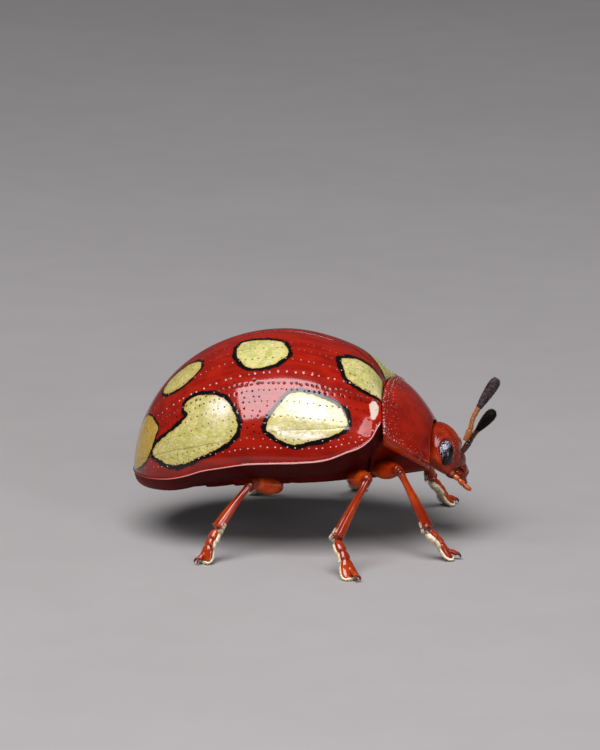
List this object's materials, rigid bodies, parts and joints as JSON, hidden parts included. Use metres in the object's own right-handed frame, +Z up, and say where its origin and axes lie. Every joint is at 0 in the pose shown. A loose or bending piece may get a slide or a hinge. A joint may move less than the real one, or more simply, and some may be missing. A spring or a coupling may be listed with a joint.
{
  "type": "leaf beetle",
  "caption": "Life-size model of a domed, spotted leaf beetle standing on its six feet.",
  "frame": {"origin": "on the floor, under the middle of the whole animal's box", "axes": "+X towards the head, +Y towards the animal's left, +Z up"},
  "size_m": [0.011, 0.0116, 0.0061],
  "materials": {
    "cuticle_red": "glossy dark red shell with small pits",
    "leg_orange": "glossy, slightly clear orange-red",
    "eye_black": "black with fine facets",
    "club_black": "dull black with fine down"
  },
  "bodies": {
    "root": {"head": "cuticle_red", "mouthparts": "cuticle_red", "eye_left": "eye_black", "eye_right": "eye_black", "palp_left": "leg_orange", "palp_right": "leg_orange", "antenna_stem_left": "leg_orange", "antenna_stem_right": "leg_orange", "antenna_club_left": "club_black", "antenna_club_right": "club_black", "pronotum": "cuticle_red", "prosternum": "cuticle_red", "scutellum": "cuticle_red", "elytron_left": "cuticle_red", "elytron_right": "cuticle_red", "thorax": "cuticle_red", "abdomen": "cuticle_red", "femur_front_left": "leg_orange", "tibia_front_left": "leg_orange", "tarsus_front_left": "leg_orange", "femur_front_right": "leg_orange", "tibia_front_right": "leg_orange", "tarsus_front_right": "leg_orange", "femur_mid_left": "leg_orange", "tibia_mid_left": "leg_orange", "tarsus_mid_left": "leg_orange", "femur_mid_right": "leg_orange", "tibia_mid_right": "leg_orange", "tarsus_mid_right": "leg_orange", "femur_hind_left": "leg_orange", "tibia_hind_left": "leg_orange", "tarsus_hind_left": "leg_orange", "femur_hind_right": "leg_orange", "tibia_hind_right": "leg_orange", "tarsus_hind_right": "leg_orange"}
  },
  "joints": []
}
